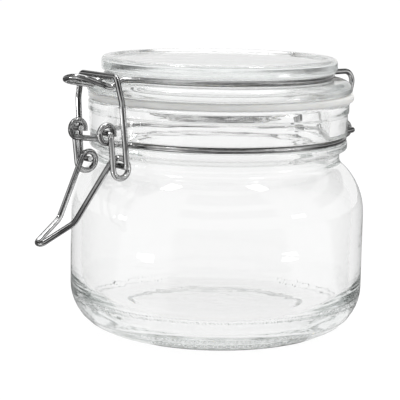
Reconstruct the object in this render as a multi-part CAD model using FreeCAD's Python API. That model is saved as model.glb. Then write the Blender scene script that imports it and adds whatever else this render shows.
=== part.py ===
import FreeCAD, Part

import math
import os

# Clip-top preserving jar: a round glass jar, a glass lid on a rubber ring, and
# the four bent wires that hold them shut.  Millimetres, +Z up.  The origin is
# on the jar's axis in the plane that it stands on.  The clip is at -Y, the
# hinge at +Y.  Only the tongue's twisted tip and the off-centre rubber ring
# break the symmetry of a turned jar with a mirrored clip.

Vector = FreeCAD.Vector

# --- jar body ---------------------------------------------------------------
BODY_R = 52.0            # outside of the straight wall
NECK_R = 43.0            # outside of the narrow neck
WALL = 3.8               # side wall
NECK_WALL = 3.7          # neck to bore of the mouth
SHOULDER_WALL = 4.3
FLOOR = 7.5              # glass under the contents
HEEL_R = 15.5            # round from foot to wall, outside
HEEL_INNER_R = 12.0      # round from floor to wall, inside
FOOT_IN = 18.5           # inner edge of the bearing ring, in from the wall
PUSH_UP_IN = 3.5         # hollow under the base, in from the bearing ring
PUSH_UP = 1.8            # its depth
PUSH_UP_ROUND = 1.6
FOOT_SLOPE = 1.2
SHOULDER_Z = 52.25       # where wall and shoulder lines meet
SHOULDER_TILT = 49.0     # shoulder line, degrees from upright
SHOULDER_ROUND = 22.5
SHOULDER_INNER_ROUND = 18.0
NECK_ROUND = 3.4
NECK_INNER_ROUND = 4.5
NECK_H = 4.1             # from the shoulder's top to the lower bead
BEAD_OUT = 2.6           # how far the bead stands out of the neck
BEAD_SLOPE = 0.8         # half the height of the bead's lower slope
BEAD_ROUND = 1.0
GROOVE_UP = 4.4          # middle of the wire's groove above the bead's foot
GROOVE_DEPTH = 2.35
GROOVE_SLACK = 0.25      # groove to wire, above and below
STEP_UP = 8.8            # step in the finish above the groove
RIM_OUT = 3.0            # how far the rim stands out of the neck
RIM_UP = 4.0             # sealing face above the step
RIM_ROUND = 1.2

# --- rubber ring ------------------------------------------------------------
SEAL_OVERHANG = 0.8      # past the jar's rim
SEAL_SET_BACK = 0.7      # from the bore of the mouth
SEAL_H = 2.8
SEAL_ROUND = 1.0
SEAL_INNER_ROUND = 0.4
SEAL_SHIFT = 1.0         # the ring lies this far towards the hinge

# --- lid --------------------------------------------------------------------
LID_H = 12.0             # above the rubber ring
FLANGE_OVERHANG = 0.6    # past the jar's rim
FLANGE_H = 4.5
FLANGE_ROUND = 3.0
LID_SET_IN = 5.1         # upper rim, in from the flange
LID_EDGE_ROUND = 1.6
LID_GROOVE_SLACK = 0.25  # groove to wire, above and below
LID_GROOVE_DEPTH = 3.0
LID_GROOVE_ROUND = 0.9
LID_PLUG = 4.8           # reach of the plug into the mouth
PLUG_CLEARANCE = 0.9     # plug to bore
PLUG_WALL = 4.4
PLUG_ROUND = 1.4
LID_TOP = 5.0            # glass over the hollow
LID_HOLLOW_ROUND = 4.0
LID_DISH = 0.9           # dish in the top
LID_RIM_W = 4.1          # width of the rim round the dish
LID_RIM_SLOPE = 1.3

# --- wires ------------------------------------------------------------------
WIRE = 2.0               # diameter of all four wires
FIT = 0.1                # wire to the bottom of its groove
COIL_GAP = 0.2           # from turn to turn where a wire coils
SIDE_GAP = 0.4           # between wires that pass each other sideways
BEND_INNER_R = 1.2       # usual bend
TIGHT_INNER_R = 0.25     # where a pin turns off
TURN_OFF = 0.5           # how far outside its hoop a wire bends away

EYE_OUT = 8.55           # eyelet's centre, out from the neck wire's hoop
EYE_UP = 4.3             # above the hoop
EYE_S = 8.9              # sideways
EYE_PLAY = 0.75          # lever's pin in the eyelet
EYE_TAIL = 1.0           # how far the eyelet's end comes down past its centre
HINGE_OUT = 7.65         # hinge bar, out from the neck wire's hoop
HINGE_S = 14.0           # half its straight length
HINGE_BOW = 3.6          # where the wire leaves its hoop for the bar
HINGE_PLAY = 0.3         # lid wire's loops round the bar
HINGE_INSET = 3.5        # loops in from the bar's ends
ARCH_OUT = 8.0           # lid wire's strands, out from the flange
ARCH_BEND = 4.0

SADDLE_OUT = 2.9         # tongue's low spot, out from the flange
SADDLE_DOWN = 2.25       # below the lid wire's hoop
SADDLE_S = 5.9
SADDLE_RUN = 4.6         # slope down to it
TONGUE_L = 12.5          # from the low spot to the tip
TONGUE_UP = 1.2          # tip above the lid wire's hoop
TONGUE_S = 5.2
TONGUE_TWIST = 1.2       # one side of the tip stands up, the other hangs down

PIVOT_UP = 0.2           # lever's pin above the eyelet's centre
COIL_PLAY = 1.3          # link's pin in the lever's coils
COIL_IN = 4.5            # in from the pin
COIL_DOWN = 11.8         # below the pin
LINK_PIN_UP = 0.8        # link's pin above the coil's centre
PIN_REACH = 2.1          # lever's pin past the middle of its eyelet
LINK_PIN_REACH = 1.3     # link's pin past the middle of its coil's last turn
HANDLE_OUT = 10.7        # handle's bend, out from the jar's wall
HANDLE_DOWN = 17.8       # below the coils
HANDLE_S = 4.8
HANDLE_BEND = 6.0
TIP_OUT = 10.7           # handle's tip, out from its bend
TIP_DOWN = 6.6           # below the bend
TIP_S = 1.5

CROSSBAR_OUT = 0.9       # link's crossbar, out from the tongue's low spot
CROSSBAR_GAP = 1.8       # above the tongue
CROSSBAR_IN = 3.5        # half as long as the legs are apart, less this
CROSSBAR_BEND = 1.9
LEG_GAP = 0.5            # more room between the arms and the link's legs
LEG_BOW_IN = 0.8         # the legs close in a little on the way up
LEG_BOW_DOWN = 8.5       # and turn in to the crossbar from here
LEG_LEAN = 0.5
LEG_BEND = 8.0

# --- worked out -------------------------------------------------------------
WIRE_R = WIRE / 2
PITCH = WIRE + COIL_GAP
BEND = WIRE_R + BEND_INNER_R
TIGHT_BEND = WIRE_R + TIGHT_INNER_R

FOOT_R = BODY_R - FOOT_IN
PUSH_UP_R = FOOT_R - PUSH_UP_IN
BEAD_R = NECK_R + BEAD_OUT
FINISH_R = NECK_R + RIM_OUT
MOUTH_R = NECK_R - NECK_WALL
GROOVE_R = BEAD_R - GROOVE_DEPTH
NECK_Z = SHOULDER_Z + (BODY_R - NECK_R) / math.tan(math.radians(SHOULDER_TILT))
BEAD_Z = NECK_Z + NECK_H
GROOVE_Z = BEAD_Z + GROOVE_UP
STEP_Z = GROOVE_Z + STEP_UP
RIM_Z = STEP_Z + RIM_UP
SEAL_TOP_Z = RIM_Z + SEAL_H

FLANGE_R = FINISH_R + FLANGE_OVERHANG
FLANGE_TOP_Z = SEAL_TOP_Z + FLANGE_H
LID_R = FLANGE_R - LID_SET_IN
LID_GROOVE_R = LID_R - LID_GROOVE_DEPTH
LID_GROOVE_H = WIRE + 2 * LID_GROOVE_SLACK
LID_TOP_Z = SEAL_TOP_Z + LID_H

NECK_WIRE_R = GROOVE_R + FIT + WIRE_R
LID_WIRE_R = LID_GROOVE_R + FIT + WIRE_R
LID_WIRE_Z = FLANGE_TOP_Z + LID_GROOVE_H / 2

EYE_R = WIRE + EYE_PLAY
EYE_U = NECK_WIRE_R + EYE_OUT
EYE_Z = GROOVE_Z + EYE_UP
HINGE_U = NECK_WIRE_R + HINGE_OUT
HINGE_LOOP_R = WIRE + HINGE_PLAY
STRAND_S = HINGE_S - HINGE_INSET
ARCH_U = FLANGE_R + ARCH_OUT
SADDLE_U = FLANGE_R + SADDLE_OUT
SADDLE_Z = LID_WIRE_Z - SADDLE_DOWN
TONGUE_U = SADDLE_U + TONGUE_L
TONGUE_Z = LID_WIRE_Z + TONGUE_UP

PIVOT_Z = EYE_Z + PIVOT_UP
ARM_S = EYE_S + WIRE + SIDE_GAP
COIL_R = WIRE + COIL_PLAY
COIL_U = EYE_U - COIL_IN
COIL_Z = PIVOT_Z - COIL_DOWN
LINK_PIN_Z = COIL_Z + LINK_PIN_UP
HANDLE_U = BODY_R + HANDLE_OUT
HANDLE_Z = COIL_Z - HANDLE_DOWN
TIP_U = HANDLE_U + TIP_OUT
TIP_Z = HANDLE_Z - TIP_DOWN

LEG_S = ARM_S + WIRE + SIDE_GAP + LEG_GAP
CROSSBAR_U = SADDLE_U + CROSSBAR_OUT
CROSSBAR_Z = SADDLE_Z + WIRE + CROSSBAR_GAP
CROSSBAR_S = LEG_S - CROSSBAR_IN


def at(out, side, up):
    """Point from its distance towards the clip, its side and its height."""
    return Vector(side, -out, up)


def polar(out, up):
    """Point of a turned outline."""
    return Vector(out, 0, up)


def rounded(corners, closed=False):
    """Wire of straight runs joined by tangent arcs.

    Each corner is a point and the radius of the arc that rounds it; radius 0
    keeps it sharp.
    """
    count = len(corners)
    entries, exits, middles = [], [], []
    for i, (point, radius) in enumerate(corners):
        end = not closed and i in (0, count - 1)
        if end or radius == 0:
            entries.append(point)
            exits.append(point)
            middles.append(None)
            continue
        back = (corners[i - 1][0] - point).normalize()
        ahead = (corners[(i + 1) % count][0] - point).normalize()
        half = back.getAngle(ahead) / 2
        reach = radius / math.tan(half)
        inward = (back + ahead).normalize()
        entries.append(point + back * reach)
        exits.append(point + ahead * reach)
        middles.append(point + inward * (radius / math.sin(half) - radius))
    edges = []
    for i in range(count):
        if middles[i] is not None:
            edges.append(Part.Arc(entries[i], middles[i], exits[i]).toShape())
        if i == count - 1 and not closed:
            break
        start, stop = exits[i], entries[(i + 1) % count]
        if start.distanceToPoint(stop) > 1e-4:
            edges.append(Part.LineSegment(start, stop).toShape())
    return Part.Wire(edges)


def turned(corners):
    """Solid turned about the jar's axis from a closed outline."""
    face = Part.Face(rounded([(polar(r, z), fillet) for r, z, fillet in corners], True))
    return face.revolve(Vector(0, 0, 0), Vector(0, 0, 1), 360)


def bent(corners):
    """Round wire bent along rounded corners."""
    spine = rounded(corners)
    start = corners[0][0]
    heading = corners[1][0] - start
    section = Part.Wire(Part.Circle(start, heading, WIRE_R).toShape())
    return spine.makePipeShell([section], True, False)


def mirrored(corners):
    """The same corners on the other side of X = 0, in reverse order."""
    return [(Vector(-p.x, p.y, p.z), radius) for p, radius in reversed(corners)]


def hoop(radius, height, start, stop, count):
    """Corners whose arcs run round the jar at one radius.

    Angles are in degrees from the clip, on the +X side.
    """
    step = math.radians(stop - start) / count
    corners = []
    for i in range(count):
        angle = math.radians(start) + step * (i + 0.5)
        reach = radius / math.cos(step / 2)
        corners.append((at(reach * math.cos(angle), reach * math.sin(angle), height), radius))
    return corners


def tangent_angle(out, side, radius):
    """Degrees between a point's direction and where its tangent meets a hoop."""
    return math.degrees(math.acos(radius / math.hypot(out, side)))


def bearing(out, side):
    """Degrees from the clip's direction to a point."""
    return math.degrees(math.atan2(side, out))


def off_hoop(radius, side):
    """Point, as (out, side), where a wire turns off a hoop's tangent."""
    return math.sqrt((radius + TURN_OFF) ** 2 - side**2), side


def tangent_heading(start, centre, radius, side):
    """Unit heading (out, up) from start that passes centre at a radius.

    Side +1 leaves the centre on the heading's right, -1 on its left.
    """
    du, dz = centre[0] - start[0], centre[1] - start[1]
    distance = math.hypot(du, dz)
    angle = math.atan2(dz, du) + side * math.asin(radius / distance)
    return math.cos(angle), math.sin(angle)


# --- sub-parts --------------------------------------------------------------
def jar_body():
    tilt = math.radians(SHOULDER_TILT)
    inner_r = BODY_R - WALL
    on_slope = (
        NECK_R - SHOULDER_WALL * math.cos(tilt),
        NECK_Z - SHOULDER_WALL * math.sin(tilt),
    )
    inner_neck_z = on_slope[1] + (on_slope[0] - MOUTH_R) / math.tan(tilt)
    inner_shoulder_z = on_slope[1] + (on_slope[0] - inner_r) / math.tan(tilt)
    groove_half = WIRE_R + GROOVE_SLACK
    outline = [
        (0, PUSH_UP, 0),
        (PUSH_UP_R, PUSH_UP, PUSH_UP_ROUND),
        (FOOT_R - FOOT_SLOPE, 0, 1.0),
        (BODY_R, 0, HEEL_R),
        (BODY_R, SHOULDER_Z, SHOULDER_ROUND),
        (NECK_R, NECK_Z, NECK_ROUND),
        (NECK_R, BEAD_Z - BEAD_SLOPE, BEAD_ROUND),
        (BEAD_R, BEAD_Z + BEAD_SLOPE, BEAD_ROUND),
        (BEAD_R, GROOVE_Z - groove_half, 0.35),
        (GROOVE_R, GROOVE_Z - groove_half, 0.9),
        (GROOVE_R, GROOVE_Z + groove_half, 0.9),
        (BEAD_R, GROOVE_Z + groove_half, 0.35),
        (BEAD_R, STEP_Z - 0.5, 1.0),
        (FINISH_R, STEP_Z + 0.3, 1.0),
        (FINISH_R, RIM_Z, RIM_ROUND),
        (MOUTH_R, RIM_Z, RIM_ROUND),
        (MOUTH_R, inner_neck_z, NECK_INNER_ROUND),
        (inner_r, inner_shoulder_z, SHOULDER_INNER_ROUND),
        (inner_r, FLOOR, HEEL_INNER_R),
        (0, FLOOR, 0),
    ]
    return turned(outline)


def seal():
    inner_r = MOUTH_R + SEAL_SET_BACK
    outer_r = FINISH_R + SEAL_OVERHANG
    outline = [
        (inner_r, RIM_Z, SEAL_INNER_ROUND),
        (outer_r, RIM_Z, SEAL_ROUND),
        (outer_r, SEAL_TOP_Z, SEAL_ROUND),
        (inner_r, SEAL_TOP_Z, SEAL_INNER_ROUND),
    ]
    ring = turned(outline)
    ring.translate(at(-SEAL_SHIFT, 0, 0))
    return ring


def lid():
    plug_r = MOUTH_R - PLUG_CLEARANCE
    plug_z = SEAL_TOP_Z - LID_PLUG
    hollow_z = LID_TOP_Z - LID_DISH - LID_TOP
    dish_r = LID_R - LID_RIM_W
    groove_high = FLANGE_TOP_Z + LID_GROOVE_H
    outline = [
        (0, LID_TOP_Z - LID_DISH, 0),
        (dish_r, LID_TOP_Z - LID_DISH, 1.0),
        (dish_r + LID_RIM_SLOPE, LID_TOP_Z, 0.8),
        (LID_R, LID_TOP_Z, LID_EDGE_ROUND),
        (LID_R, groove_high + 0.3, LID_GROOVE_ROUND),
        (LID_GROOVE_R, groove_high - 0.1, 0.8),
        (LID_GROOVE_R, FLANGE_TOP_Z, LID_GROOVE_ROUND),
        (FLANGE_R, FLANGE_TOP_Z, FLANGE_ROUND),
        (FLANGE_R, SEAL_TOP_Z, 0.7),
        (plug_r, SEAL_TOP_Z, 0.6),
        (plug_r, plug_z, PLUG_ROUND),
        (plug_r - PLUG_WALL, plug_z, PLUG_ROUND),
        (plug_r - PLUG_WALL, hollow_z, LID_HOLLOW_ROUND),
        (0, hollow_z, 0),
    ]
    return turned(outline)


def neck_wire():
    """One wire round the neck: an eyelet at each end, a straight bar behind."""
    leave = off_hoop(NECK_WIRE_R, EYE_S + 0.2)
    bow = off_hoop(NECK_WIRE_R, HINGE_S + HINGE_BOW)
    front = bearing(*leave) + tangent_angle(*leave, NECK_WIRE_R)
    back = 180 - bearing(*bow) - tangent_angle(*bow, NECK_WIRE_R)
    half = [
        (at(EYE_U - EYE_R, EYE_S, EYE_Z - EYE_TAIL), 0),
        (at(EYE_U - EYE_R, EYE_S, EYE_Z + EYE_R), EYE_R),
        (at(EYE_U + EYE_R, EYE_S, EYE_Z + EYE_R), EYE_R),
        (at(EYE_U + EYE_R, EYE_S, EYE_Z - EYE_R), EYE_R),
        (at(leave[0], leave[1], GROOVE_Z), BEND),
    ]
    half += hoop(NECK_WIRE_R, GROOVE_Z, front, back, 6)
    half += [
        (at(-bow[0], bow[1], GROOVE_Z), BEND),
        (at(-HINGE_U, HINGE_S, GROOVE_Z), BEND),
    ]
    return bent(half + mirrored(half))


def lid_wire():
    """One wire round the lid: hinge loops behind, a tongue in front."""
    down = tangent_heading((-ARCH_U, LID_WIRE_Z), (-HINGE_U, GROOVE_Z), HINGE_LOOP_R, 1)
    away = (down[1], -down[0])

    def loop(along, across, turns):
        return at(
            -HINGE_U + HINGE_LOOP_R * (along * down[0] + across * away[0]),
            STRAND_S - PITCH * turns,
            GROOVE_Z + HINGE_LOOP_R * (along * down[1] + across * away[1]),
        )

    leave_back = off_hoop(LID_WIRE_R, STRAND_S + 1.0)
    leave_front = off_hoop(LID_WIRE_R, SADDLE_S + 1.6)
    back = 180 - bearing(*leave_back) - tangent_angle(*leave_back, LID_WIRE_R)
    front = bearing(*leave_front) + tangent_angle(*leave_front, LID_WIRE_R)
    half = [
        (loop(0.3, -1, 1.1), 0),
        (loop(-1, -1, 1), HINGE_LOOP_R),
        (loop(-1, 1, 0.75), HINGE_LOOP_R),
        (loop(1, 1, 0.5), HINGE_LOOP_R),
        (loop(1, -1, 0.25), HINGE_LOOP_R),
        (at(-ARCH_U, STRAND_S, LID_WIRE_Z), ARCH_BEND),
        (at(-leave_back[0], leave_back[1], LID_WIRE_Z), BEND),
    ]
    half += hoop(LID_WIRE_R, LID_WIRE_Z, back, front, 6)
    half += [
        (at(leave_front[0], leave_front[1], LID_WIRE_Z), BEND),
        (at(SADDLE_U - SADDLE_RUN, SADDLE_S + 0.5, LID_WIRE_Z + 0.2), BEND),
        (at(SADDLE_U, SADDLE_S, SADDLE_Z), BEND),
    ]
    tip = [
        (at(TONGUE_U, side, TONGUE_Z + math.copysign(TONGUE_TWIST, side)), TONGUE_S - 0.1)
        for side in (TONGUE_S, -TONGUE_S)
    ]
    return bent(half + tip + mirrored(half))


def lever():
    """Handle: pins in the eyelets, arms, a coil on each side and a pointed loop."""
    pivot = (EYE_U, PIVOT_Z)
    coil = (COIL_U, COIL_Z)
    arm = tangent_heading(pivot, coil, COIL_R, 1)
    inboard = (arm[1], -arm[0])
    bend = (HANDLE_U, HANDLE_Z)
    back = tangent_heading(bend, coil, COIL_R, -1)
    leg = (-back[0], -back[1])
    over = (-inboard[0], -inboard[1])
    turn = math.acos(over[0] * leg[0] + over[1] * leg[1])

    def on_coil(along, across, turns):
        return at(
            coil[0] + COIL_R * (along * arm[0] + across * inboard[0]),
            ARM_S - PITCH * turns,
            coil[1] + COIL_R * (along * arm[1] + across * inboard[1]),
        )

    half = [
        (at(pivot[0], EYE_S - PIN_REACH, pivot[1]), 0),
        (at(pivot[0], ARM_S, pivot[1]), TIGHT_BEND),
        (on_coil(1, -1, 0.12), COIL_R),
        (on_coil(1, 1, 0.4), COIL_R),
        (on_coil(-1, 1, 0.75), COIL_R),
        (on_coil(-1, -math.tan(turn / 2), 1), COIL_R),
        (at(HANDLE_U, HANDLE_S, HANDLE_Z), HANDLE_BEND),
        (at(TIP_U, TIP_S, TIP_Z), TIP_S),
    ]
    return bent(half + mirrored(half))


def link():
    """Wire yoke: a crossbar over the tongue and legs hooked in the coils."""
    half = [
        (at(COIL_U, ARM_S - PITCH - LINK_PIN_REACH, LINK_PIN_Z), 0),
        (at(COIL_U, LEG_S, LINK_PIN_Z), TIGHT_BEND),
        (at(CROSSBAR_U - LEG_LEAN, LEG_S - LEG_BOW_IN, CROSSBAR_Z - LEG_BOW_DOWN), LEG_BEND),
        (at(CROSSBAR_U, CROSSBAR_S, CROSSBAR_Z), CROSSBAR_BEND),
    ]
    return bent(half + mirrored(half))


PARTS = {
    "jar_body": jar_body,
    "lid": lid,
    "seal": seal,
    "neck_wire": neck_wire,
    "lid_wire": lid_wire,
    "lever": lever,
    "link": link,
}


def main():
    os.makedirs("parts", exist_ok=True)
    for name, make in PARTS.items():
        shape = make()
        shape.exportStep("parts/" + name + ".step")
        print(name, "valid", shape.isValid(), "volume %.1f mm3" % shape.Volume)


main()
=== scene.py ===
import math

import bpy
from mathutils import Matrix, Vector


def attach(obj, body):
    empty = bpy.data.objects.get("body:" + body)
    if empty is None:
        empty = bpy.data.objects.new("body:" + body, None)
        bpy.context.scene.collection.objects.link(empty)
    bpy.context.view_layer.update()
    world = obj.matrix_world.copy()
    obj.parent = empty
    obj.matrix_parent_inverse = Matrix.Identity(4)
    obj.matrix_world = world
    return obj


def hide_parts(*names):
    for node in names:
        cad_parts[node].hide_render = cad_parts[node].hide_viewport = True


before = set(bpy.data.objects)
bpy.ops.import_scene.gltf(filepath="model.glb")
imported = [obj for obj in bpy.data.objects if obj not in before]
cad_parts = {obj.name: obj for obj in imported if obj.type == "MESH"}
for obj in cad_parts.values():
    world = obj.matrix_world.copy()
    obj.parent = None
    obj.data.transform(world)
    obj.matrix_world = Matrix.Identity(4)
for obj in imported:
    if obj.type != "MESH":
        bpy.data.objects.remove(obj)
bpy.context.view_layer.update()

# Clip-top jar.  Sizes are in millimetres, as in the CAD source, and are scaled
# to metres where a mesh is made.  +Z up, clip at -Y, hinge at +Y.
MM = 0.001

# How finely an outline or a path is cut: degrees to a facet of an arc, halved
# from a radius of LARGE_ROUND up, and millimetres to a straight run.
ARC_STEP, LARGE_ROUND, STRAIGHT_RUN, SAME_CORNER = 7.5, 20, 2.5, 1e-4
HOOP_ARCS = 6
GLASS_SEGMENTS, SEAL_SEGMENTS, WIRE_SIDES = 256, 192, 20
# Points nearer than this, in metres, become one.
SAME_POINT, SLIVER = 2e-6, 8e-6
# The inside of the jar wanders: the whole range in metres, and the share of it
# that the neck and the body have.
JAR_RIPPLE, NECK_WANDER, BODY_WANDER = 0.00014, 0.35, 0.8
RIPPLE_STRETCH = (0.4, 0.4, 1.0)

# --- jar --------------------------------------------------------------------
BODY_R, NECK_R = 52.0, 43.0
WALL, SHOULDER_WALL, FLOOR = 3.8, 4.3, 7.5
HEEL_R, HEEL_INNER_R = 15.5, 12.0
FOOT_R, FOOT_SLOPE, FOOT_ROUND = 33.5, 1.2, 1.0
PUSH_UP_R, PUSH_UP, PUSH_UP_ROUND = 30.0, 1.8, 1.6
SHOULDER_Z, SHOULDER_TILT = 52.25, math.radians(49.0)
SHOULDER_ROUND, SHOULDER_INNER_ROUND = 22.5, 18.0
NECK_ROUND, NECK_INNER_ROUND = 3.4, 4.5
BEAD_R, BEAD_SLOPE, BEAD_ROUND = 45.6, 0.8, 1.0
GROOVE_R, GROOVE_HALF, GROOVE_ROUND, GROOVE_LIP_ROUND = 43.25, 1.25, 0.9, 0.35
STEP_FALL, STEP_RISE, STEP_ROUND = 0.5, 0.3, 1.0
FINISH_R, MOUTH_R, RIM_ROUND = 46.0, 39.3, 1.2
NECK_Z = SHOULDER_Z + (BODY_R - NECK_R) / math.tan(SHOULDER_TILT)
BEAD_Z = NECK_Z + 4.1
GROOVE_Z = BEAD_Z + 4.4
STEP_Z = GROOVE_Z + 8.8
RIM_Z = STEP_Z + 4.0

STUDS, STUD_R, STUD_PROUD = 200, 0.5, 0.12
INNER_RING_SLOPE, OUTER_RING_SLOPE = math.radians(37.0), math.radians(49.0)

# --- rubber ring and lid ----------------------------------------------------
SEAL_OUTER_R, SEAL_INNER_R, SEAL_H, SEAL_SHIFT = 46.8, 40.0, 2.8, 1.0
SEAL_TOP_Z = RIM_Z + SEAL_H
SEAL_CLEAR, SEAL_INNER_ROUND, SEAL_OUTER_ROUND = 0.03, 0.4, 1.0
FLANGE_R, FLANGE_H, FLANGE_ROUND, FLANGE_EDGE_ROUND = 46.6, 4.5, 3.0, 0.7
FLANGE_TOP_Z = SEAL_TOP_Z + FLANGE_H
LID_R, LID_H, LID_ROUND = 41.5, 12.0, 1.6
LID_TOP_Z = SEAL_TOP_Z + LID_H
LID_GROOVE_R, LID_GROOVE_H, LID_GROOVE_ROUND, LID_GROOVE_TOP_ROUND = 38.5, 2.5, 0.9, 0.8
LID_GROOVE_FALL, LID_GROOVE_RISE = 0.1, 0.3
PLUG_R, PLUG_WALL, PLUG_Z, PLUG_ROUND, PLUG_ROOT_ROUND = 38.4, 4.4, SEAL_TOP_Z - 4.8, 1.4, 0.6
LID_DISH, LID_DISH_R, LID_RIM_SLOPE, LID_TOP = 0.9, 37.4, 1.3, 5.0
LID_HOLLOW_ROUND, LID_RIM_ROUND, LID_DISH_ROUND = 4.0, 0.8, 1.0

# --- wires ------------------------------------------------------------------
WIRE_R = 1.0
PITCH, BEND, TIGHT_BEND = 2.2, 2.2, 1.25
TURN_OFF = 0.5
NECK_WIRE_R, LID_WIRE_R = 44.35, 39.6
LID_WIRE_Z = FLANGE_TOP_Z + LID_GROOVE_H / 2
EYE_U, EYE_S, EYE_Z, EYE_R, EYE_TAIL = 52.9, 8.9, GROOVE_Z + 4.3, 2.75, 1.0
HINGE_U, HINGE_S, HINGE_BOW, HINGE_LOOP_R = 52.0, 14.0, 3.6, 2.3
STRAND_S, ARCH_U, ARCH_BEND = 10.5, 54.6, 4.0
SADDLE_U, SADDLE_S, SADDLE_Z, SADDLE_RUN = 49.5, 5.9, LID_WIRE_Z - 2.25, 4.6
SADDLE_SPREAD, SADDLE_LIFT = 0.5, 0.2
TONGUE_U, TONGUE_S, TONGUE_Z, TONGUE_TWIST = 62.0, 5.2, LID_WIRE_Z + 1.2, 1.2
TONGUE_TIP_R = TONGUE_S - 0.1
# How much wider each pair of strands is where it leaves the hoop.
EYE_SPREAD, STRAND_SPREAD, FRONT_SPREAD = 0.2, 1.0, 1.6
PIVOT_Z = EYE_Z + 0.2
ARM_S, PIN_REACH, LINK_PIN_REACH = 11.3, 2.1, 1.3
COIL_R, COIL_U, COIL_Z = 3.3, 48.4, PIVOT_Z - 11.8
LINK_PIN_Z = COIL_Z + 0.8
HANDLE_U, HANDLE_S, HANDLE_Z, HANDLE_BEND = 62.7, 4.8, COIL_Z - 17.8, 6.0
TIP_U, TIP_S, TIP_Z = 73.4, 1.5, HANDLE_Z - 6.6
LEG_S, LEG_BOW_S, LEG_BEND = 14.2, 13.4, 8.0
CROSSBAR_U, CROSSBAR_S, CROSSBAR_Z = 50.4, 10.7, SADDLE_Z + 3.8
CROSSBAR_BEND, LEG_BACK, LEG_DROP = 1.9, 0.5, 8.5


# --- outlines and wire paths ------------------------------------------------
def at(out, side, up):
    """Point from its distance towards the clip, its side and its height."""
    return Vector((side, -out, up))


def softened(corners, closed=False):
    """Points along straight runs joined by tangent arcs.

    Each corner is a point and the radius of the arc that rounds it.
    """
    count = len(corners)
    rough = []
    for i, (corner, radius) in enumerate(corners):
        if radius == 0 or (not closed and i in (0, count - 1)):
            rough.append(corner)
            continue
        back = (corners[i - 1][0] - corner).normalized()
        ahead = (corners[(i + 1) % count][0] - corner).normalized()
        half = back.angle(ahead) / 2
        reach = radius / math.tan(half)
        centre = corner + (back + ahead).normalized() * radius / math.sin(half)
        first, last = corner + back * reach - centre, corner + ahead * reach - centre
        sweep = math.pi - 2 * half
        step = math.radians(ARC_STEP if radius < LARGE_ROUND else ARC_STEP / 2)
        pieces = max(2, math.ceil(sweep / step))
        for k in range(pieces + 1):
            a, b = math.sin(sweep * (1 - k / pieces)), math.sin(sweep * k / pieces)
            rough.append(centre + (first * a + last * b) / math.sin(sweep))
    if closed:
        rough.append(rough[0])
    points = [rough[0]]
    for point in rough[1:]:
        gap = (point - points[-1]).length
        if gap < SAME_CORNER:
            continue
        start = points[-1]
        parts = max(1, math.ceil(gap / STRAIGHT_RUN))
        points += [start.lerp(point, k / parts) for k in range(1, parts + 1)]
    return points


def turned_outline(corners, closed=False):
    """Outline in the X-Z plane from radius, height and round of each corner."""
    return softened([(Vector((r, 0, z)), fillet) for r, z, fillet in corners], closed)


def jar_outline():
    tilt = SHOULDER_TILT
    inner_r = BODY_R - WALL
    slope_r = NECK_R - SHOULDER_WALL * math.cos(tilt)
    slope_z = NECK_Z - SHOULDER_WALL * math.sin(tilt)
    inner_neck_z = slope_z + (slope_r - MOUTH_R) / math.tan(tilt)
    inner_shoulder_z = slope_z + (slope_r - inner_r) / math.tan(tilt)
    return turned_outline([
        (0, PUSH_UP, 0),
        (PUSH_UP_R, PUSH_UP, PUSH_UP_ROUND),
        (FOOT_R - FOOT_SLOPE, 0, FOOT_ROUND),
        (BODY_R, 0, HEEL_R),
        (BODY_R, SHOULDER_Z, SHOULDER_ROUND),
        (NECK_R, NECK_Z, NECK_ROUND),
        (NECK_R, BEAD_Z - BEAD_SLOPE, BEAD_ROUND),
        (BEAD_R, BEAD_Z + BEAD_SLOPE, BEAD_ROUND),
        (BEAD_R, GROOVE_Z - GROOVE_HALF, GROOVE_LIP_ROUND),
        (GROOVE_R, GROOVE_Z - GROOVE_HALF, GROOVE_ROUND),
        (GROOVE_R, GROOVE_Z + GROOVE_HALF, GROOVE_ROUND),
        (BEAD_R, GROOVE_Z + GROOVE_HALF, GROOVE_LIP_ROUND),
        (BEAD_R, STEP_Z - STEP_FALL, STEP_ROUND),
        (FINISH_R, STEP_Z + STEP_RISE, STEP_ROUND),
        (FINISH_R, RIM_Z, RIM_ROUND),
        (MOUTH_R, RIM_Z, RIM_ROUND),
        (MOUTH_R, inner_neck_z, NECK_INNER_ROUND),
        (inner_r, inner_shoulder_z, SHOULDER_INNER_ROUND),
        (inner_r, FLOOR, HEEL_INNER_R),
        (0, FLOOR, 0),
    ])


def lid_outline():
    groove_high = FLANGE_TOP_Z + LID_GROOVE_H
    hollow_z = LID_TOP_Z - LID_DISH - LID_TOP
    return turned_outline([
        (0, hollow_z, 0),
        (PLUG_R - PLUG_WALL, hollow_z, LID_HOLLOW_ROUND),
        (PLUG_R - PLUG_WALL, PLUG_Z, PLUG_ROUND),
        (PLUG_R, PLUG_Z, PLUG_ROUND),
        (PLUG_R, SEAL_TOP_Z, PLUG_ROOT_ROUND),
        (FLANGE_R, SEAL_TOP_Z, FLANGE_EDGE_ROUND),
        (FLANGE_R, FLANGE_TOP_Z, FLANGE_ROUND),
        (LID_GROOVE_R, FLANGE_TOP_Z, LID_GROOVE_ROUND),
        (LID_GROOVE_R, groove_high - LID_GROOVE_FALL, LID_GROOVE_TOP_ROUND),
        (LID_R, groove_high + LID_GROOVE_RISE, LID_GROOVE_ROUND),
        (LID_R, LID_TOP_Z, LID_ROUND),
        (LID_DISH_R + LID_RIM_SLOPE, LID_TOP_Z, LID_RIM_ROUND),
        (LID_DISH_R, LID_TOP_Z - LID_DISH, LID_DISH_ROUND),
        (0, LID_TOP_Z - LID_DISH, 0),
    ])


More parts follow.
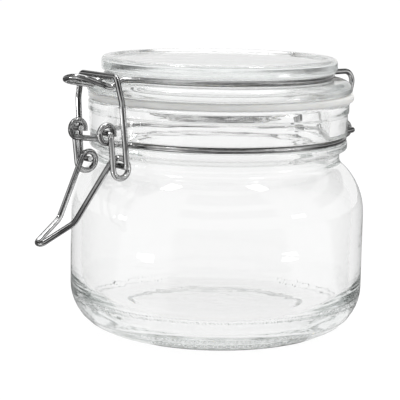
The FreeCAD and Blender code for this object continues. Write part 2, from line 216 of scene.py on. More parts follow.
def seal_outline():
    """The ring, a hair short of the glass above and below it, so no two faces lie in one plane."""
    low, high = RIM_Z + SEAL_CLEAR, SEAL_TOP_Z - SEAL_CLEAR
    return turned_outline([
        (SEAL_INNER_R, low, SEAL_INNER_ROUND),
        (SEAL_OUTER_R, low, SEAL_OUTER_ROUND),
        (SEAL_OUTER_R, high, SEAL_OUTER_ROUND),
        (SEAL_INNER_R, high, SEAL_INNER_ROUND),
    ], closed=True)


def mirrored(corners):
    """The same corners on the other side of X = 0, in reverse order."""
    return [(Vector((-p.x, p.y, p.z)), radius) for p, radius in reversed(corners)]


def hoop(radius, height, start, stop, count):
    """Corners whose arcs run round the jar; angles are from the clip."""
    step = math.radians(stop - start) / count
    corners = []
    for i in range(count):
        angle = math.radians(start) + step * (i + 0.5)
        reach = radius / math.cos(step / 2)
        corners.append((at(reach * math.cos(angle), reach * math.sin(angle), height), radius))
    return corners


def tangent_angle(out, side, radius):
    return math.degrees(math.acos(radius / math.hypot(out, side)))


def bearing(out, side):
    return math.degrees(math.atan2(side, out))


def off_hoop(radius, side):
    """Point, as (out, side), where a wire turns off a hoop's tangent."""
    return math.sqrt((radius + TURN_OFF) ** 2 - side**2), side


def tangent_heading(start, centre, radius, side):
    """Unit heading (out, up) from start that passes centre at a radius."""
    du, dz = centre[0] - start[0], centre[1] - start[1]
    angle = math.atan2(dz, du) + side * math.asin(radius / math.hypot(du, dz))
    return math.cos(angle), math.sin(angle)


def neck_wire_path():
    leave = off_hoop(NECK_WIRE_R, EYE_S + EYE_SPREAD)
    bow = off_hoop(NECK_WIRE_R, HINGE_S + HINGE_BOW)
    front = bearing(*leave) + tangent_angle(*leave, NECK_WIRE_R)
    back = 180 - bearing(*bow) - tangent_angle(*bow, NECK_WIRE_R)
    half = [
        (at(EYE_U - EYE_R, EYE_S, EYE_Z - EYE_TAIL), 0),
        (at(EYE_U - EYE_R, EYE_S, EYE_Z + EYE_R), EYE_R),
        (at(EYE_U + EYE_R, EYE_S, EYE_Z + EYE_R), EYE_R),
        (at(EYE_U + EYE_R, EYE_S, EYE_Z - EYE_R), EYE_R),
        (at(leave[0], leave[1], GROOVE_Z), BEND),
    ]
    half += hoop(NECK_WIRE_R, GROOVE_Z, front, back, HOOP_ARCS)
    half += [
        (at(-bow[0], bow[1], GROOVE_Z), BEND),
        (at(-HINGE_U, HINGE_S, GROOVE_Z), BEND),
    ]
    return softened(half + mirrored(half))


def lid_wire_path():
    down = tangent_heading((-ARCH_U, LID_WIRE_Z), (-HINGE_U, GROOVE_Z), HINGE_LOOP_R, 1)
    away = (down[1], -down[0])

    def loop(along, across, turns):
        return at(
            -HINGE_U + HINGE_LOOP_R * (along * down[0] + across * away[0]),
            STRAND_S - PITCH * turns,
            GROOVE_Z + HINGE_LOOP_R * (along * down[1] + across * away[1]),
        )

    leave_back = off_hoop(LID_WIRE_R, STRAND_S + STRAND_SPREAD)
    leave_front = off_hoop(LID_WIRE_R, SADDLE_S + FRONT_SPREAD)
    back = 180 - bearing(*leave_back) - tangent_angle(*leave_back, LID_WIRE_R)
    front = bearing(*leave_front) + tangent_angle(*leave_front, LID_WIRE_R)
    half = [
        (loop(0.3, -1, 1.1), 0),
        (loop(-1, -1, 1), HINGE_LOOP_R),
        (loop(-1, 1, 0.75), HINGE_LOOP_R),
        (loop(1, 1, 0.5), HINGE_LOOP_R),
        (loop(1, -1, 0.25), HINGE_LOOP_R),
        (at(-ARCH_U, STRAND_S, LID_WIRE_Z), ARCH_BEND),
        (at(-leave_back[0], leave_back[1], LID_WIRE_Z), BEND),
    ]
    half += hoop(LID_WIRE_R, LID_WIRE_Z, back, front, HOOP_ARCS)
    half += [
        (at(leave_front[0], leave_front[1], LID_WIRE_Z), BEND),
        (at(SADDLE_U - SADDLE_RUN, SADDLE_S + SADDLE_SPREAD, LID_WIRE_Z + SADDLE_LIFT), BEND),
        (at(SADDLE_U, SADDLE_S, SADDLE_Z), BEND),
    ]
    tip = [
        (at(TONGUE_U, side, TONGUE_Z + math.copysign(TONGUE_TWIST, side)), TONGUE_TIP_R)
        for side in (TONGUE_S, -TONGUE_S)
    ]
    return softened(half + tip + mirrored(half))


def lever_path():
    pivot, coil, bend = (EYE_U, PIVOT_Z), (COIL_U, COIL_Z), (HANDLE_U, HANDLE_Z)
    arm = tangent_heading(pivot, coil, COIL_R, 1)
    inboard = (arm[1], -arm[0])
    back = tangent_heading(bend, coil, COIL_R, -1)
    turn = math.acos(inboard[0] * back[0] + inboard[1] * back[1])

    def on_coil(along, across, turns):
        return at(
            coil[0] + COIL_R * (along * arm[0] + across * inboard[0]),
            ARM_S - PITCH * turns,
            coil[1] + COIL_R * (along * arm[1] + across * inboard[1]),
        )

    half = [
        (at(pivot[0], EYE_S - PIN_REACH, pivot[1]), 0),
        (at(pivot[0], ARM_S, pivot[1]), TIGHT_BEND),
        (on_coil(1, -1, 0.12), COIL_R),
        (on_coil(1, 1, 0.4), COIL_R),
        (on_coil(-1, 1, 0.75), COIL_R),
        (on_coil(-1, -math.tan(turn / 2), 1), COIL_R),
        (at(HANDLE_U, HANDLE_S, HANDLE_Z), HANDLE_BEND),
        (at(TIP_U, TIP_S, TIP_Z), TIP_S),
    ]
    return softened(half + mirrored(half))


def link_path():
    half = [
        (at(COIL_U, ARM_S - PITCH - LINK_PIN_REACH, LINK_PIN_Z), 0),
        (at(COIL_U, LEG_S, LINK_PIN_Z), TIGHT_BEND),
        (at(CROSSBAR_U - LEG_BACK, LEG_BOW_S, CROSSBAR_Z - LEG_DROP), LEG_BEND),
        (at(CROSSBAR_U, CROSSBAR_S, CROSSBAR_Z), CROSSBAR_BEND),
    ]
    return softened(half + mirrored(half))


# --- geometry nodes ---------------------------------------------------------
def wired(tree, kind, inputs=None, **settings):
    """Adds a node; an input that is a socket is linked, and any other is set."""
    made = tree.nodes.new(kind)
    for key, value in settings.items():
        setattr(made, key, value)
    for key, value in (inputs or {}).items():
        if isinstance(value, bpy.types.NodeSocket):
            tree.links.new(value, made.inputs[key])
        else:
            made.inputs[key].default_value = value
    return made


def geometry_tree(name, sockets):
    """New tree with a Geometry input, the named inputs and a Geometry output."""
    tree = bpy.data.node_groups.new(name, "GeometryNodeTree")
    face = tree.interface
    face.new_socket("Geometry", in_out="INPUT", socket_type="NodeSocketGeometry")
    for label, kind in sockets:
        face.new_socket(label, in_out="INPUT", socket_type="NodeSocket" + kind)
    face.new_socket("Geometry", in_out="OUTPUT", socket_type="NodeSocketGeometry")
    return tree, tree.nodes.new("NodeGroupInput").outputs


def end_tree(tree, geometry, material):
    """Every tree ends in real, smooth geometry with its material."""
    real = wired(tree, "GeometryNodeRealizeInstances", {"Geometry": geometry})
    smooth = wired(tree, "GeometryNodeSetShadeSmooth", {"Geometry": real.outputs[0]})
    painted = wired(tree, "GeometryNodeSetMaterial",
                    {"Geometry": smooth.outputs[0], "Material": material})
    out = tree.nodes.new("NodeGroupOutput")
    tree.links.new(painted.outputs[0], out.inputs[0])


def maths(tree, operation, a, b=0.0):
    return wired(tree, "ShaderNodeMath", {0: a, 1: b}, operation=operation).outputs[0]


def turned_tree():
    """Turns an outline about Z, and lets its surface wander a little."""
    tree, given = geometry_tree("turned_piece", [
        ("Segments", "Int"), ("Ripple", "Float"), ("Ripple Size", "Float"),
        ("Seed", "Float"), ("Material", "Material")])
    outline = given["Geometry"]
    count = wired(tree, "GeometryNodeAttributeDomainSize", {"Geometry": outline}).outputs["Point Count"]
    columns = maths(tree, "ADD", given["Segments"], 1.0)
    grid = wired(tree, "GeometryNodeMeshGrid",
                 {"Size X": 1.0, "Size Y": 1.0, "Vertices X": columns, "Vertices Y": count})
    index = tree.nodes.new("GeometryNodeInputIndex").outputs[0]
    along = maths(tree, "MODULO", index, count)
    around = maths(tree, "FLOOR", maths(tree, "DIVIDE", maths(tree, "ADD", index, 0.5), count))
    angle = maths(tree, "MULTIPLY", maths(tree, "DIVIDE", around, given["Segments"]), math.tau)
    place = tree.nodes.new("GeometryNodeInputPosition").outputs[0]
    sample = wired(tree, "GeometryNodeSampleIndex",
                   {"Geometry": outline, "Value": place, "Index": along}, data_type="FLOAT_VECTOR")
    wander = wired(tree, "GeometryNodeInputNamedAttribute", {"Name": "wander"}, data_type="FLOAT")
    share = wired(tree, "GeometryNodeSampleIndex",
                  {"Geometry": outline, "Value": wander.outputs[0], "Index": along}, data_type="FLOAT")
    turned = wired(tree, "ShaderNodeVectorRotate",
                   {"Vector": sample.outputs[0], "Angle": angle}, rotation_type="Z_AXIS")
    shell = wired(tree, "GeometryNodeSetPosition",
                  {"Geometry": grid.outputs["Mesh"], "Position": turned.outputs[0]})
    held = wired(tree, "GeometryNodeStoreNamedAttribute",
                 {"Geometry": shell.outputs[0], "Name": "wander_here", "Value": share.outputs[0]},
                 data_type="FLOAT", domain="POINT")
    closed = wired(tree, "GeometryNodeMergeByDistance",
                   {"Geometry": held.outputs[0], "Distance": SAME_POINT})
    scale = maths(tree, "DIVIDE", 1.0, given["Ripple Size"])
    drawn_out = wired(tree, "ShaderNodeVectorMath", {0: place, 1: RIPPLE_STRETCH}, operation="MULTIPLY")
    noise = wired(tree, "ShaderNodeTexNoise",
                  {"Vector": drawn_out.outputs[0], "W": given["Seed"], "Scale": scale, "Detail": 1.0},
                  noise_dimensions="4D")
    here = wired(tree, "GeometryNodeInputNamedAttribute", {"Name": "wander_here"}, data_type="FLOAT")
    lift = maths(tree, "MULTIPLY",
                 maths(tree, "MULTIPLY", maths(tree, "SUBTRACT", noise.outputs[0], 0.5), here.outputs[0]),
                 given["Ripple"])
    normal = tree.nodes.new("GeometryNodeInputNormal").outputs[0]
    offset = wired(tree, "ShaderNodeVectorMath", {0: normal, "Scale": lift}, operation="SCALE")
    rippled = wired(tree, "GeometryNodeSetPosition",
                    {"Geometry": closed.outputs[0], "Offset": offset.outputs[0]})
    end_tree(tree, rippled.outputs[0], given["Material"])
    return tree


def studded_tree():
    """Fuses two rings of small domes, half a step apart, to a turned piece."""
    tree, given = geometry_tree("studded_piece", [
        ("Count", "Int"), ("Stud Radius", "Float"),
        ("Inner Ring Radius", "Float"), ("Inner Ring Height", "Float"),
        ("Outer Ring Radius", "Float"), ("Outer Ring Height", "Float"), ("Material", "Material")])
    stud = wired(tree, "GeometryNodeMeshIcoSphere", {"Radius": given["Stud Radius"], "Subdivisions": 2})
    step = maths(tree, "DIVIDE", math.pi, given["Count"])
    rings = []
    for ring, turned in (("Inner Ring", 0.0), ("Outer Ring", step)):
        circle = wired(tree, "GeometryNodeMeshCircle",
                       {"Vertices": given["Count"], "Radius": given[ring + " Radius"]})
        lifted = wired(tree, "ShaderNodeCombineXYZ", {"Z": given[ring + " Height"]})
        spun = wired(tree, "ShaderNodeCombineXYZ", {"Z": turned})
        rings.append(wired(tree, "GeometryNodeTransform",
                           {"Geometry": circle.outputs[0], "Translation": lifted.outputs[0],
                            "Rotation": spun.outputs[0]}).outputs[0])
    both = tree.nodes.new("GeometryNodeJoinGeometry")
    for ring in rings:
        tree.links.new(ring, both.inputs[0])
    studs = wired(tree, "GeometryNodeInstanceOnPoints",
                  {"Points": both.outputs[0], "Instance": stud.outputs["Mesh"]})
    real = wired(tree, "GeometryNodeRealizeInstances", {"Geometry": studs.outputs[0]})
    fused = wired(tree, "GeometryNodeMeshBoolean", {"Mesh 2": given["Geometry"]},
                  operation="UNION", solver="MANIFOLD")
    tree.links.new(real.outputs[0], fused.inputs["Mesh 2"])
    # Slivers left where a stud's edge meets a facet's are closed up.
    clean = wired(tree, "GeometryNodeMergeByDistance",
                  {"Geometry": fused.outputs["Mesh"], "Distance": SLIVER})
    end_tree(tree, clean.outputs[0], given["Material"])
    return tree


def wire_tree():
    """Draws a round wire along a path, with length and turn as its UV map."""
    tree, given = geometry_tree("round_wire", [
        ("Wire Radius", "Float"), ("Sides", "Int"), ("Material", "Material")])
    path = wired(tree, "GeometryNodeMeshToCurve", {"Mesh": given["Geometry"]})
    run = tree.nodes.new("GeometryNodeSplineParameter")
    long_way = wired(tree, "GeometryNodeStoreNamedAttribute",
                     {"Geometry": path.outputs[0], "Name": "run", "Value": run.outputs["Length"]},
                     data_type="FLOAT", domain="POINT")
    ring = wired(tree, "GeometryNodeCurvePrimitiveCircle",
                 {"Resolution": given["Sides"], "Radius": given["Wire Radius"]})
    round_way = wired(tree, "GeometryNodeStoreNamedAttribute",
                      {"Geometry": ring.outputs[0], "Name": "turn", "Value": run.outputs["Factor"]},
                      data_type="FLOAT", domain="POINT")
    gauge = wired(tree, "GeometryNodeInputNamedAttribute", {"Name": "gauge"}, data_type="FLOAT")
    drawn = wired(tree, "GeometryNodeCurveToMesh",
                  {"Curve": long_way.outputs[0], "Profile Curve": round_way.outputs[0],
                   "Scale": gauge.outputs[0], "Fill Caps": True})
    along = wired(tree, "GeometryNodeInputNamedAttribute", {"Name": "run"}, data_type="FLOAT")
    about = wired(tree, "GeometryNodeInputNamedAttribute", {"Name": "turn"}, data_type="FLOAT")
    pair = wired(tree, "ShaderNodeCombineXYZ", {"X": along.outputs[0], "Y": about.outputs[0]})
    mapped = wired(tree, "GeometryNodeStoreNamedAttribute",
                   {"Geometry": drawn.outputs[0], "Name": "UVMap", "Value": pair.outputs[0]},
                   data_type="FLOAT2", domain="CORNER")
    end_tree(tree, mapped.outputs[0], given["Material"])
    return tree


# Only the trees need these, and a finished mesh drops them.
WORKING_ATTRIBUTES = ("wander_here", "gauge", "run", "turn")


def built(name, points, tree, inputs, attributes):
    """A plain mesh object from a path or outline and a geometry tree."""
    mesh = bpy.data.meshes.new(name + "_line")
    joins = [(i, i + 1) for i in range(len(points) - 1)]
    mesh.from_pydata([p * MM for p in points], joins, [])
    for label, values in attributes.items():
        mesh.attributes.new(label, "FLOAT", "POINT").data.foreach_set("value", values)
    return shaped(name, mesh, tree, inputs)


def shaped(name, mesh, tree, inputs):
    """A plain mesh object from a mesh and a geometry tree."""
    line = bpy.data.objects.new(name + "_line", mesh)
    bpy.context.scene.collection.objects.link(line)
    shaper = line.modifiers.new("shape", "NODES")
    shaper.node_group = tree
    for item in tree.interface.items_tree:
        if item.in_out == "INPUT" and item.name in inputs:
            shaper[item.identifier] = inputs[item.name]
    line.update_tag()
    bpy.context.view_layer.update()
    seen = line.evaluated_get(bpy.context.evaluated_depsgraph_get())
    solid = bpy.data.meshes.new_from_object(seen)
    solid.name = name
    for label in WORKING_ATTRIBUTES:
        if label in solid.attributes:
            solid.attributes.remove(solid.attributes[label])
    bpy.data.objects.remove(line)
    piece = bpy.data.objects.new(name, solid)
    bpy.context.scene.collection.objects.link(piece)
    return piece


# --- materials --------------------------------------------------------------
def finish_of(name):
    """New material, its node tree and its surface shader."""
    material = bpy.data.materials.new(name)
    material.use_nodes = True
    tree = material.node_tree
    return material, tree, tree.nodes["Principled BSDF"]


def grey(level):
    return level, level, level, 1


def object_noise(tree, scale, detail=2.0, stretch=(1, 1, 1), coords="Object"):
    where = tree.nodes.new("ShaderNodeTexCoord").outputs[coords]
    mapped = wired(tree, "ShaderNodeMapping", {"Vector": where, "Scale": stretch})
    return wired(tree, "ShaderNodeTexNoise",
                 {"Vector": mapped.outputs[0], "Scale": scale, "Detail": detail}).outputs[0]


def ramp(tree, value, start, stop, low=0.0, high=1.0, **settings):
    """Low up to the start, high from the stop on, and a slope between."""
    return wired(tree, "ShaderNodeMapRange",
                 {"Value": value, "From Min": start, "From Max": stop, "To Min": low, "To Max": high},
                 **settings).outputs[0]


def spread(tree, value, low, high):
    """Moves a noise value, mostly 0.3 to 0.7, to a range."""
    return ramp(tree, value, 0.3, 0.7, low, high)


def between(tree, share, first, second):
    """Colour from the first to the second as the share rises."""
    mix = wired(tree, "ShaderNodeMix", {"Factor": share, "A": first, "B": second}, data_type="RGBA")
    return mix.outputs["Result"]


def edge_shade_share(tree, start, stop, **settings):
    """0 where the surface faces the eye, rising to 1 as it turns edge on: the share of shade painted into a
    colour.
    """
    lean = wired(tree, "ShaderNodeLayerWeight", {"Blend": 0.5}).outputs["Facing"]
    return ramp(tree, lean, start, stop, **settings)


def bumped(tree, shader, height, depth, strength=1.0):
    bump = wired(tree, "ShaderNodeBump",
                 {"Height": height, "Distance": depth, "Strength": strength})
    tree.links.new(bump.outputs["Normal"], shader.inputs["Normal"])


def swept_noise(tree, fine, around, detail=2.0):
    """Noise drawn out round the axis, as pressing leaves it in the glass."""
    where = tree.nodes.new("ShaderNodeTexCoord").outputs["Object"]
    part = wired(tree, "ShaderNodeSeparateXYZ", {"Vector": where})
    flat = wired(tree, "ShaderNodeVectorMath", {0: where, 1: (1, 1, 0)}, operation="MULTIPLY").outputs[0]
    radius = wired(tree, "ShaderNodeVectorMath", {0: flat}, operation="LENGTH").outputs["Value"]
    heading = wired(tree, "ShaderNodeVectorMath", {0: flat}, operation="NORMALIZE").outputs[0]
    turn = wired(tree, "ShaderNodeSeparateXYZ", {"Vector": heading})
    climb = maths(tree, "ADD", part.outputs["Z"], radius)
    place = wired(tree, "ShaderNodeCombineXYZ", {
        "X": maths(tree, "MULTIPLY", turn.outputs["X"], around),
        "Y": maths(tree, "MULTIPLY", turn.outputs["Y"], around),
        "Z": maths(tree, "MULTIPLY", climb, fine)})
    return wired(tree, "ShaderNodeTexNoise",
                 {"Vector": place.outputs[0], "Scale": 1.0, "Detail": detail}).outputs[0]


def glass(name, depth_colour, density, waves, streaks, softness, face, edge):
    """Clear pressed glass: wavy, a little streaky, and with shade painted into its colour where it is seen
    edge on.
    """
    material, tree, shader = finish_of(name)
    shader.inputs["Transmission Weight"].default_value = 1.0
    shader.inputs["IOR"].default_value = 1.5
    # Painted shade: the colour goes from face to edge as the glass turns edge on.
    painted_edge_shade = edge_shade_share(tree, 0.4, 0.85, interpolation_type="SMOOTHSTEP")
    tree.links.new(between(tree, painted_edge_shade, (*face, 1), (*edge, 1)), shader.inputs["Base Color"])
    wear = spread(tree, object_noise(tree, WEAR_SCALE, 4.0), 0.0, softness)
    tree.links.new(wear, shader.inputs["Roughness"])
    waving = maths(tree, "MULTIPLY", object_noise(tree, WAVE_SCALE, 1.0), waves)
    streaking = maths(tree, "MULTIPLY", swept_noise(tree, STREAK_SCALE, STREAK_ROUND), streaks)
    bumped(tree, shader, maths(tree, "ADD", waving, streaking), depth=1.0)
    soak = wired(tree, "ShaderNodeVolumeAbsorption", {"Color": (*depth_colour, 1), "Density": density})
    tree.links.new(soak.outputs[0], tree.nodes["Material Output"].inputs["Volume"])
    return material


def steel(name):
    """Drawn wire: fine lines along it, streaks of painted reflection along it, some tarnish, and painted
    shade that makes it darker seen edge on.
    """
    material, tree, shader = finish_of(name)
    lines = object_noise(tree, 1.0, 3.0, LINE_SCALE, "UV")
    streaks = object_noise(tree, 1.0, 1.0, SHEEN_STREAK_SCALE, "UV")
    tarnish = object_noise(tree, TARNISH_SCALE, 3.0)
    # Painted reflection: bright and dark streaks along the wire, mixed with some real tarnish, set its
    # colour.
    tarnish_and_sheen = maths(tree, "ADD", maths(tree, "MULTIPLY", streaks, 1 - TARNISH_SHARE),
                  maths(tree, "MULTIPLY", tarnish, TARNISH_SHARE))
    face = between(tree, ramp(tree, tarnish_and_sheen, 0.4, 0.6), STEEL_DARK, STEEL_BRIGHT)
    # Painted shade: the colour goes to the edge colour where the wire is seen edge on.
    tone = between(tree, edge_shade_share(tree, 0.2, 0.8), face, STEEL_EDGE_SHADE)
    tree.links.new(tone, shader.inputs["Base Color"])
    shader.inputs["Metallic"].default_value = 1.0
    tree.links.new(spread(tree, lines, 0.07, 0.16), shader.inputs["Roughness"])
    bumped(tree, shader, lines, depth=0.00005, strength=0.6)
    return material


def rubber(name):
    """Pale, cloudy and a little translucent, with a fine dull grain."""
    material, tree, shader = finish_of(name)
    cloudy = object_noise(tree, CLOUD_SCALE, 3.0)
    tone = between(tree, spread(tree, cloudy, 0.0, 1.0), RUBBER_DARK, RUBBER_PALE)
    tree.links.new(tone, shader.inputs["Base Color"])
    shader.inputs["Transmission Weight"].default_value = 0.15
    shader.inputs["IOR"].default_value = 1.4
    shader.inputs["Subsurface Weight"].default_value = 0.6
    shader.inputs["Subsurface Radius"].default_value = (1.0, 0.95, 0.85)
    shader.inputs["Subsurface Scale"].default_value = 0.004
    grain = object_noise(tree, GRAIN_SCALE, 2.0)
    tree.links.new(spread(tree, grain, 0.38, 0.6), shader.inputs["Roughness"])
    bumped(tree, shader, grain, depth=0.00004, strength=0.5)
    return material


# Noise scales are changes per metre.  The wire's are per metre along it and per
# turn round it, and STREAK_ROUND is small, so the streaks in the glass run round.
WEAR_SCALE, WAVE_SCALE = 30.0, 75.0
STREAK_SCALE, STREAK_ROUND = 480.0, 1.2
LINE_SCALE, SHEEN_STREAK_SCALE = (60.0, 16.0, 1.0), (25.0, 9.0, 1.0)
TARNISH_SCALE, TARNISH_SHARE = 420.0, 0.15
CLOUD_SCALE, GRAIN_SCALE = 120.0, 2500.0
# STEEL_DARK and STEEL_BRIGHT paint reflection streaks, with some tarnish, into the wire's colour; the edge
# colour is painted shade.
STEEL_DARK, STEEL_BRIGHT, STEEL_EDGE_SHADE = grey(0.12), grey(0.8), grey(0.05)
RUBBER_DARK, RUBBER_PALE = (0.78, 0.78, 0.76, 1), (0.86, 0.86, 0.84, 1)

# Waves and streaks are depths in metres.
# face is the glass's own tint; edge is the painted shade it darkens to where it is seen edge on.
JAR_GLASS = glass("clear_jar_glass", depth_colour=(0.0, 0.2, 0.12), density=1.0, waves=0.00012,
                  streaks=0.00003, softness=0.035, face=(0.955, 0.955, 0.955), edge=(0.85, 0.85, 0.85))
LID_GLASS = glass("pressed_lid_glass", depth_colour=(0.0, 0.25, 0.18), density=0.8, waves=0.0001,
                  streaks=0.00005, softness=0.16, face=(0.95, 0.952, 0.951), edge=(0.86, 0.863, 0.861))
RUBBER = rubber("pale_rubber")
STEEL = steel("drawn_steel")


# --- the pieces -------------------------------------------------------------
def wander_shares(points):
    """How much each outline point of the jar may wander: only the inside does."""
    top = max(range(len(points)), key=lambda i: points[i].z)
    return [0.0 if i < top else (NECK_WANDER if points[i].z > NECK_Z else BODY_WANDER)
            for i in range(len(points))]


def stud_rings():
    """Radius and height of each ring of studs, from its place on the round of the heel."""
    reach = HEEL_R - STUD_R + STUD_PROUD
    rings = {}
    for ring, slope in (("Inner Ring", INNER_RING_SLOPE), ("Outer Ring", OUTER_RING_SLOPE)):
        rings[ring + " Radius"] = (BODY_R - HEEL_R + reach * math.sin(slope)) * MM
        rings[ring + " Height"] = (HEEL_R - reach * math.cos(slope)) * MM
    return rings


TURNED, DRAWN = turned_tree(), wire_tree()

jar_points, lid_points, seal_points = jar_outline(), lid_outline(), seal_outline()
plain_jar = built("plain_jar", jar_points, TURNED,
                  {"Segments": GLASS_SEGMENTS, "Ripple": JAR_RIPPLE, "Ripple Size": 0.03, "Seed": 3.0,
                   "Material": JAR_GLASS}, {"wander": wander_shares(jar_points)})
jar = shaped("jar_glass", plain_jar.data, studded_tree(),
             {"Count": STUDS, "Stud Radius": STUD_R * MM, "Material": JAR_GLASS, **stud_rings()})
bpy.data.objects.remove(plain_jar)
lid = built("lid_glass", lid_points, TURNED,
            {"Segments": GLASS_SEGMENTS, "Ripple": 0.0, "Ripple Size": 0.02, "Seed": 8.0,
             "Material": LID_GLASS}, {"wander": [0.0] * len(lid_points)})
seal = built("rubber_ring", seal_points, TURNED,
             {"Segments": SEAL_SEGMENTS, "Ripple": 0.0, "Ripple Size": 0.02, "Seed": 1.0,
              "Material": RUBBER}, {"wander": [0.0] * len(seal_points)})
seal.data.transform(Matrix.Translation(at(-SEAL_SHIFT, 0, 0) * MM))

for piece, node, slot in ((jar, "jar_body", "glass"), (lid, "lid", "lid_glass"), (seal, "seal", "rubber")):
    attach(piece, "jar")
    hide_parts(node)

for name, path, node, body in (
    ("neck_wire_steel", neck_wire_path(), "neck_wire", "jar"),
    ("lid_wire_steel", lid_wire_path(), "lid_wire", "jar"),
    ("lever_steel", lever_path(), "lever", "lever"),
    ("link_steel", link_path(), "link", "link"),
):
    piece = built(name, path, DRAWN,
                  {"Wire Radius": WIRE_R * MM, "Sides": WIRE_SIDES, "Material": STEEL},
                  {"gauge": [1.0] * len(path)})
    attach(piece, body)
    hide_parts(node)


# --- camera -----------------------------------------------------------------
CAMERA_TURN = math.radians(52.5)
CAMERA_OUT, CAMERA_UP = 523.1, 133.9
CAMERA_YAW, CAMERA_PITCH, CAMERA_ROLL = (math.radians(a) for a in (-0.66, 9.67, 0.96))
LENS = 133.69


def add_camera():
    data = bpy.data.cameras.new("camera")
    data.lens, data.sensor_width = LENS, 36.0
    data.clip_start, data.clip_end = 0.01, 50.0
    camera = bpy.data.objects.new("camera", data)
    bpy.context.scene.collection.objects.link(camera)
    ahead = Vector((math.sin(CAMERA_YAW) * math.cos(CAMERA_PITCH),
                    math.cos(CAMERA_YAW) * math.cos(CAMERA_PITCH), -math.sin(CAMERA_PITCH)))
    right = Vector((math.cos(CAMERA_YAW), -math.sin(CAMERA_YAW), 0))
    up = right.cross(ahead)
    c, s = math.cos(CAMERA_ROLL), math.sin(CAMERA_ROLL)
    right, up = c * right + s * up, c * up - s * right
    turn = Matrix.Rotation(CAMERA_TURN, 4, "Z")
    stand = Matrix((right, up, -ahead)).transposed().to_4x4()
    stand.translation = Vector((0, -CAMERA_OUT, CAMERA_UP)) * MM
    camera.matrix_world = turn @ stand
    bpy.context.scene.camera = camera


# --- studio -----------------------------------------------------------------
# Each lamp's degrees to the right of the camera, metres out from the axis and up,
# metres wide and high, and watts.  The near reflectors leave short highlights low
# on the wall, and the far ones leave them on the shoulder.
LAMPS = (
    ("softbox_left", -60.0, 0.365, 0.65, 0.10, 0.13, 0.8),
    ("softbox_right", 58.0, 0.304, 0.65, 0.10, 0.13, 0.8),
    ("softbox_top", 180.0, 0.3, 1.0, 0.8, 0.8, 6.0),
    ("reflector_near_left", -45.7, 0.146, 0.0125, 0.03, 0.0015, 0.0014),
    ("reflector_near_right", 48.2, 0.146, 0.0130, 0.03, 0.0015, 0.0014),
    ("reflector_far_left", -66.9, 0.162, 0.053, 0.03, 0.012, 0.011),
    ("reflector_far_right", 56.7, 0.162, 0.074, 0.03, 0.012, 0.011),
)
AIM = Vector((0, 0, 0.05))

# What mirrored rays see: upright panels all round, the first of them 70 degrees
# to the right of the camera, and level strips one above another.  A panel's turn
# is from +X and a lamp's is from -Y, so 90 degrees come off.
PANELS, PANEL_TURN = 3, CAMERA_TURN + math.radians(70.0 - 90.0)
PANEL_SIDE, PANEL_FULL = 0.35, 0.6
HORIZON_END, HORIZON_FULL = 0.3, 0.18
STRIPS, STRIP_PHASE, STRIP_SIDE, STRIP_FULL = 18.0, 4.06, 0.2, 0.6
SKY_PANEL, SKY_GAP = 0.8, 0.08
FLOOR_PANEL, FLOOR_GAP = 0.75, 0.15

# What matt surfaces see, then the floor seen directly or through the glass, and
# its own colour under the lamps.
SKY_FILL, FLOOR_FILL = 0.85, 0.75
FLOOR_WHITE, FLOOR_COLOUR = 0.97, 0.06
FLOOR_HALF, FLOOR_DROP = 3.0, 0.0002
BOUNCES = 48


def add_lamp(name, turn, out, up, width, height, power):
    data = bpy.data.lights.new(name, "AREA")
    data.shape, data.size, data.size_y = "RECTANGLE", width, height
    data.energy = power
    lamp = bpy.data.objects.new(name, data)
    bpy.context.scene.collection.objects.link(lamp)
    angle = CAMERA_TURN + math.radians(turn)
    lamp.location = (math.sin(angle) * out, -math.cos(angle) * out, up)
    lamp.rotation_euler = (AIM - lamp.location).to_track_quat("-Z", "Y").to_euler()
    lamp.visible_camera = lamp.visible_transmission = False


def ray_kinds(tree):
    """Each is 1 on its kind of ray: straight or through glass, mirrored, and off a matt surface."""
    rays = tree.nodes.new("ShaderNodeLightPath").outputs
    through = maths(tree, "MAXIMUM", rays["Is Camera Ray"], rays["Is Transmission Ray"])
    return through, rays["Is Glossy Ray"], rays["Is Diffuse Ray"]


def panels_round(tree, place):
    """1 on an upright panel and 0 between, from a place or a heading."""
    turn = maths(tree, "ARCTAN2", place.outputs["Y"], place.outputs["X"])
    wave = maths(tree, "COSINE", maths(tree, "MULTIPLY", maths(tree, "SUBTRACT", turn, PANEL_TURN), PANELS))
    return ramp(tree, wave, PANEL_SIDE, PANEL_FULL)


def sky_panels(tree):
    """Bright panels, strips and horizon between dark gaps."""
    where = tree.nodes.new("ShaderNodeTexCoord").outputs["Generated"]
    part = wired(tree, "ShaderNodeSeparateXYZ", {"Vector": where})
    height = part.outputs["Z"]
    horizon = ramp(tree, height, HORIZON_END, HORIZON_FULL)
    wave = maths(tree, "SINE", maths(tree, "ADD", maths(tree, "MULTIPLY", height, STRIPS), STRIP_PHASE))
    strips = ramp(tree, wave, STRIP_SIDE, STRIP_FULL)
    bright = maths(tree, "MAXIMUM", maths(tree, "MAXIMUM", panels_round(tree, part), horizon), strips)
    return maths(tree, "ADD", maths(tree, "MULTIPLY", bright, SKY_PANEL), SKY_GAP)


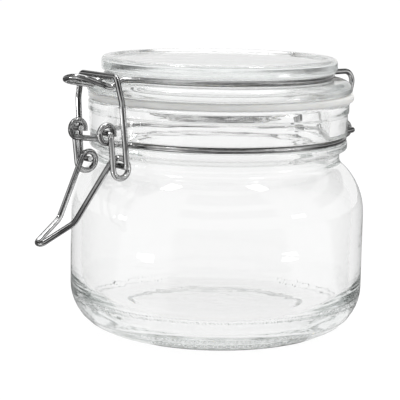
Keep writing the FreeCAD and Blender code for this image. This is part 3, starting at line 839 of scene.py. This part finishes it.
def add_sky():
    world = bpy.data.worlds.new("studio")
    world.use_nodes = True
    tree = world.node_tree
    sky = tree.nodes["Background"]
    sky.inputs["Color"].default_value = grey(1)
    through, mirrored_ray, _ = ray_kinds(tree)
    shown = maths(tree, "MAXIMUM", through, maths(tree, "MULTIPLY", mirrored_ray, sky_panels(tree)))
    other = maths(tree, "SUBTRACT", 1.0, maths(tree, "MAXIMUM", through, mirrored_ray))
    strength = maths(tree, "ADD", shown, maths(tree, "MULTIPLY", other, SKY_FILL))
    tree.links.new(strength, sky.inputs["Strength"])
    bpy.context.scene.world = world


def add_floor():
    mesh = bpy.data.meshes.new("floor")
    half = FLOOR_HALF
    mesh.from_pydata([(-half, -half, 0), (half, -half, 0), (half, half, 0), (-half, half, 0)],
                     [], [(0, 1, 2, 3)])
    floor = bpy.data.objects.new("floor", mesh)
    floor.location.z = -FLOOR_DROP
    bpy.context.scene.collection.objects.link(floor)
    material, tree, shader = finish_of("floor_white")
    through, mirrored_ray, matt_ray = ray_kinds(tree)
    shader.inputs["Base Color"].default_value = grey(FLOOR_COLOUR)
    shader.inputs["Roughness"].default_value = 0.9
    shader.inputs["Specular IOR Level"].default_value = 0.0
    shader.inputs["Emission Color"].default_value = grey(1)
    where = tree.nodes.new("ShaderNodeTexCoord").outputs["Object"]
    panels = panels_round(tree, wired(tree, "ShaderNodeSeparateXYZ", {"Vector": where}))
    sheen = maths(tree, "ADD", maths(tree, "MULTIPLY", panels, FLOOR_PANEL), FLOOR_GAP)
    glow = maths(tree, "MAXIMUM", maths(tree, "MULTIPLY", through, FLOOR_WHITE),
                 maths(tree, "MULTIPLY", mirrored_ray, sheen))
    fill = maths(tree, "MULTIPLY", matt_ray, FLOOR_FILL)
    tree.links.new(maths(tree, "ADD", glow, fill), shader.inputs["Emission Strength"])
    mesh.materials.append(material)


add_camera()
for lamp in LAMPS:
    add_lamp(*lamp)
add_sky()
add_floor()
bpy.context.scene.view_settings.view_transform = "Standard"
# Light runs a long way round inside thick glass before it leaves.
light_paths = bpy.context.scene.cycles
light_paths.max_bounces = light_paths.transmission_bounces = light_paths.glossy_bounces = BOUNCES
